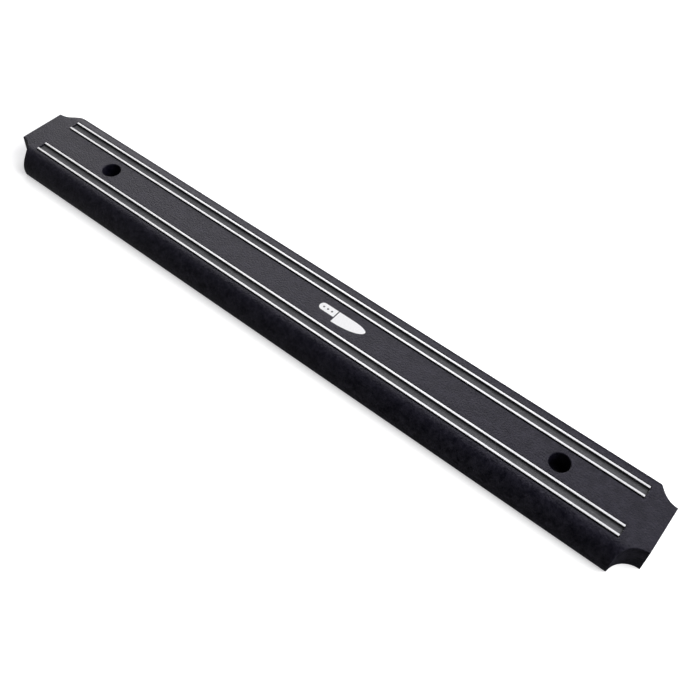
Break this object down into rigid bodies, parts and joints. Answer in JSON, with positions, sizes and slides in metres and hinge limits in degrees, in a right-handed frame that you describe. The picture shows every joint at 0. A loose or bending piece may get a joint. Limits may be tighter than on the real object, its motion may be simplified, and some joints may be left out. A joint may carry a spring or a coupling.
{
  "type": "magnetic knife rack",
  "caption": "Slim black wall bar with scooped corners and bulging flanks, that holds knives on the steel edges of its magnetic tracks; fixed by screws in recessed holes.",
  "frame": {"origin": "centre of the bar's back, on the plane that lies against the wall", "axes": "+X along the bar to the right as it hangs, +Y up the wall, +Z out of the wall towards the knives"},
  "size_m": [0.38, 0.0472, 0.0149],
  "materials": {
    "housing_plastic": "satin",
    "plate_plastic": "matte",
    "pole_steel": "satin",
    "filler_composite": "matte",
    "magnet_ferrite": "matte"
  },
  "bodies": {
    "root": {"housing": "housing_plastic", "back_plate": "plate_plastic", "upper_outer_pole_strip": "pole_steel", "upper_inner_pole_strip": "pole_steel", "lower_outer_pole_strip": "pole_steel", "lower_inner_pole_strip": "pole_steel", "upper_filler_strip": "filler_composite", "lower_filler_strip": "filler_composite", "upper_magnet_1": "magnet_ferrite", "upper_magnet_2": "magnet_ferrite", "upper_magnet_3": "magnet_ferrite", "upper_magnet_4": "magnet_ferrite", "upper_magnet_5": "magnet_ferrite", "upper_magnet_6": "magnet_ferrite", "upper_magnet_7": "magnet_ferrite", "lower_magnet_1": "magnet_ferrite", "lower_magnet_2": "magnet_ferrite", "lower_magnet_3": "magnet_ferrite", "lower_magnet_4": "magnet_ferrite", "lower_magnet_5": "magnet_ferrite", "lower_magnet_6": "magnet_ferrite", "lower_magnet_7": "magnet_ferrite"}
  },
  "joints": []
}
